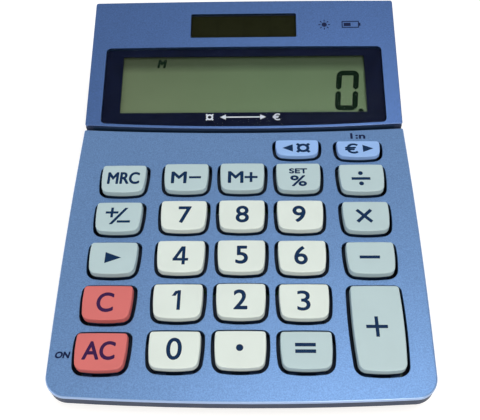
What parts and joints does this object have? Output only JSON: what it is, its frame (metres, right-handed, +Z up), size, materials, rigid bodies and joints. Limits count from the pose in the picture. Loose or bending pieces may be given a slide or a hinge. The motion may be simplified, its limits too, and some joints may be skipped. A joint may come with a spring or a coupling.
{
  "type": "desktop calculator",
  "caption": "Wedge-shaped desktop calculator with a tilted one-line display, solar window and a grid of raised press keys on a blue metal face.",
  "frame": {"origin": "on the table under the middle of the outline, at the bottom of the feet", "axes": "+Z up, +Y from the user towards the display, +X to the user's right"},
  "size_m": [0.1042, 0.138, 0.0309],
  "materials": {
    "blue_metal": "satin metallic blue, anodised look",
    "case_plastic": "fine moulded texture, blue grey",
    "clear_window": "clear, glossy",
    "dark_print": "navy print, glossy",
    "display_film": "smoked green grey",
    "display_glass": "clear",
    "reflector": "satin green grey",
    "holder_plastic": "moulded, light grey",
    "screw_steel": "bright",
    "contact_metal": "plated sheet",
    "flexible_film": "amber film",
    "grey_rubber": "matt grey silicone",
    "board_laminate": "green solder mask",
    "black_resin": "glossy black",
    "solar_silicon": "dark olive brown",
    "red_insulation": "smooth",
    "black_insulation": "smooth",
    "foot_rubber": "matt dark",
    "red_keys": "satin moulded",
    "grey_green_keys": "satin moulded",
    "cream_keys": "satin moulded",
    "blue_keys": "satin moulded"
  },
  "bodies": {
    "calculator": {"battery_contact_negative": "contact_metal", "battery_contact_positive": "contact_metal", "battery_door": "case_plastic", "battery_door_screw": "screw_steel", "battery_wire_black": "black_insulation", "battery_wire_red": "red_insulation", "board_screws": "screw_steel", "button_cell": "screw_steel", "capacitor": "black_resin", "case_screws": "screw_steel", "chip_resin": "black_resin", "chip_resistors": "black_resin", "display_bezel": "dark_print", "display_faceplate": "blue_metal", "display_window": "clear_window", "film_connector": "flexible_film", "keyboard_faceplate": "blue_metal", "lcd_front_glass": "display_glass", "lcd_front_polariser": "display_film", "lcd_holder": "holder_plastic", "lcd_holder_screws": "screw_steel", "lcd_rear_glass": "display_glass", "lcd_reflector": "reflector", "lower_case": "case_plastic", "main_board": "board_laminate", "rubber_feet": "foot_rubber", "rubber_key_mat": "grey_rubber", "solar_cell": "solar_silicon", "solar_window": "clear_window", "solar_wire_black": "black_insulation", "solar_wire_red": "red_insulation", "upper_case": "case_plastic"},
    "key_0": {"key_0": "cream_keys"},
    "key_1": {"key_1": "cream_keys"},
    "key_2": {"key_2": "cream_keys"},
    "key_3": {"key_3": "cream_keys"},
    "key_4": {"key_4": "cream_keys"},
    "key_5": {"key_5": "cream_keys"},
    "key_6": {"key_6": "cream_keys"},
    "key_7": {"key_7": "cream_keys"},
    "key_8": {"key_8": "cream_keys"},
    "key_9": {"key_9": "cream_keys"},
    "key_all_clear": {"key_all_clear": "red_keys"},
    "key_backspace": {"key_backspace": "grey_green_keys"},
    "key_clear": {"key_clear": "red_keys"},
    "key_convert_local": {"key_convert_local": "blue_keys"},
    "key_convert_rate": {"key_convert_rate": "blue_keys"},
    "key_decimal": {"key_decimal": "cream_keys"},
    "key_divide": {"key_divide": "grey_green_keys"},
    "key_equals": {"key_equals": "grey_green_keys"},
    "key_memory_minus": {"key_memory_minus": "grey_green_keys"},
    "key_memory_plus": {"key_memory_plus": "grey_green_keys"},
    "key_memory_recall": {"key_memory_recall": "grey_green_keys"},
    "key_minus": {"key_minus": "grey_green_keys"},
    "key_percent": {"key_percent": "grey_green_keys"},
    "key_plus": {"key_plus": "grey_green_keys"},
    "key_sign": {"key_sign": "grey_green_keys"},
    "key_times": {"key_times": "grey_green_keys"}
  },
  "joints": [
    {"name": "key_0_press", "type": "slide", "parent": "calculator", "child": "key_0", "axis": [0, 0.0698, -0.9976], "range_m": [0, 0.0015], "stiffness_N_per_m": 500, "springref_m": -0.0003, "deforming": ["rubber_key_mat"]},
    {"name": "key_1_press", "type": "slide", "parent": "calculator", "child": "key_1", "axis": [0, 0.0698, -0.9976], "range_m": [0, 0.0015], "stiffness_N_per_m": 500, "springref_m": -0.0003, "deforming": ["rubber_key_mat"]},
    {"name": "key_2_press", "type": "slide", "parent": "calculator", "child": "key_2", "axis": [0, 0.0698, -0.9976], "range_m": [0, 0.0015], "stiffness_N_per_m": 500, "springref_m": -0.0003, "deforming": ["rubber_key_mat"]},
    {"name": "key_3_press", "type": "slide", "parent": "calculator", "child": "key_3", "axis": [0, 0.0698, -0.9976], "range_m": [0, 0.0015], "stiffness_N_per_m": 500, "springref_m": -0.0003, "deforming": ["rubber_key_mat"]},
    {"name": "key_4_press", "type": "slide", "parent": "calculator", "child": "key_4", "axis": [0, 0.0698, -0.9976], "range_m": [0, 0.0015], "stiffness_N_per_m": 500, "springref_m": -0.0003, "deforming": ["rubber_key_mat"]},
    {"name": "key_5_press", "type": "slide", "parent": "calculator", "child": "key_5", "axis": [0, 0.0698, -0.9976], "range_m": [0, 0.0015], "stiffness_N_per_m": 500, "springref_m": -0.0003, "deforming": ["rubber_key_mat"]},
    {"name": "key_6_press", "type": "slide", "parent": "calculator", "child": "key_6", "axis": [0, 0.0698, -0.9976], "range_m": [0, 0.0015], "stiffness_N_per_m": 500, "springref_m": -0.0003, "deforming": ["rubber_key_mat"]},
    {"name": "key_7_press", "type": "slide", "parent": "calculator", "child": "key_7", "axis": [0, 0.0698, -0.9976], "range_m": [0, 0.0015], "stiffness_N_per_m": 500, "springref_m": -0.0003, "deforming": ["rubber_key_mat"]},
    {"name": "key_8_press", "type": "slide", "parent": "calculator", "child": "key_8", "axis": [0, 0.0698, -0.9976], "range_m": [0, 0.0015], "stiffness_N_per_m": 500, "springref_m": -0.0003, "deforming": ["rubber_key_mat"]},
    {"name": "key_9_press", "type": "slide", "parent": "calculator", "child": "key_9", "axis": [0, 0.0698, -0.9976], "range_m": [0, 0.0015], "stiffness_N_per_m": 500, "springref_m": -0.0003, "deforming": ["rubber_key_mat"]},
    {"name": "key_all_clear_press", "type": "slide", "parent": "calculator", "child": "key_all_clear", "axis": [0, 0.0698, -0.9976], "range_m": [0, 0.0015], "stiffness_N_per_m": 500, "springref_m": -0.0003, "deforming": ["rubber_key_mat"]},
    {"name": "key_backspace_press", "type": "slide", "parent": "calculator", "child": "key_backspace", "axis": [0, 0.0698, -0.9976], "range_m": [0, 0.0015], "stiffness_N_per_m": 500, "springref_m": -0.0003, "deforming": ["rubber_key_mat"]},
    {"name": "key_clear_press", "type": "slide", "parent": "calculator", "child": "key_clear", "axis": [0, 0.0698, -0.9976], "range_m": [0, 0.0015], "stiffness_N_per_m": 500, "springref_m": -0.0003, "deforming": ["rubber_key_mat"]},
    {"name": "key_convert_local_press", "type": "slide", "parent": "calculator", "child": "key_convert_local", "axis": [0, 0.0698, -0.9976], "range_m": [0, 0.0015], "stiffness_N_per_m": 500, "springref_m": -0.0003, "deforming": ["rubber_key_mat"]},
    {"name": "key_convert_rate_press", "type": "slide", "parent": "calculator", "child": "key_convert_rate", "axis": [0, 0.0698, -0.9976], "range_m": [0, 0.0015], "stiffness_N_per_m": 500, "springref_m": -0.0003, "deforming": ["rubber_key_mat"]},
    {"name": "key_decimal_press", "type": "slide", "parent": "calculator", "child": "key_decimal", "axis": [0, 0.0698, -0.9976], "range_m": [0, 0.0015], "stiffness_N_per_m": 500, "springref_m": -0.0003, "deforming": ["rubber_key_mat"]},
    {"name": "key_divide_press", "type": "slide", "parent": "calculator", "child": "key_divide", "axis": [0, 0.0698, -0.9976], "range_m": [0, 0.0015], "stiffness_N_per_m": 500, "springref_m": -0.0003, "deforming": ["rubber_key_mat"]},
    {"name": "key_equals_press", "type": "slide", "parent": "calculator", "child": "key_equals", "axis": [0, 0.0698, -0.9976], "range_m": [0, 0.0015], "stiffness_N_per_m": 500, "springref_m": -0.0003, "deforming": ["rubber_key_mat"]},
    {"name": "key_memory_minus_press", "type": "slide", "parent": "calculator", "child": "key_memory_minus", "axis": [0, 0.0698, -0.9976], "range_m": [0, 0.0015], "stiffness_N_per_m": 500, "springref_m": -0.0003, "deforming": ["rubber_key_mat"]},
    {"name": "key_memory_plus_press", "type": "slide", "parent": "calculator", "child": "key_memory_plus", "axis": [0, 0.0698, -0.9976], "range_m": [0, 0.0015], "stiffness_N_per_m": 500, "springref_m": -0.0003, "deforming": ["rubber_key_mat"]},
    {"name": "key_memory_recall_press", "type": "slide", "parent": "calculator", "child": "key_memory_recall", "axis": [0, 0.0698, -0.9976], "range_m": [0, 0.0015], "stiffness_N_per_m": 500, "springref_m": -0.0003, "deforming": ["rubber_key_mat"]},
    {"name": "key_minus_press", "type": "slide", "parent": "calculator", "child": "key_minus", "axis": [0, 0.0698, -0.9976], "range_m": [0, 0.0015], "stiffness_N_per_m": 500, "springref_m": -0.0003, "deforming": ["rubber_key_mat"]},
    {"name": "key_percent_press", "type": "slide", "parent": "calculator", "child": "key_percent", "axis": [0, 0.0698, -0.9976], "range_m": [0, 0.0015], "stiffness_N_per_m": 500, "springref_m": -0.0003, "deforming": ["rubber_key_mat"]},
    {"name": "key_plus_press", "type": "slide", "parent": "calculator", "child": "key_plus", "axis": [0, 0.0698, -0.9976], "range_m": [0, 0.0015], "stiffness_N_per_m": 500, "springref_m": -0.0003, "deforming": ["rubber_key_mat"]},
    {"name": "key_sign_press", "type": "slide", "parent": "calculator", "child": "key_sign", "axis": [0, 0.0698, -0.9976], "range_m": [0, 0.0015], "stiffness_N_per_m": 500, "springref_m": -0.0003, "deforming": ["rubber_key_mat"]},
    {"name": "key_times_press", "type": "slide", "parent": "calculator", "child": "key_times", "axis": [0, 0.0698, -0.9976], "range_m": [0, 0.0015], "stiffness_N_per_m": 500, "springref_m": -0.0003, "deforming": ["rubber_key_mat"]}
  ]
}
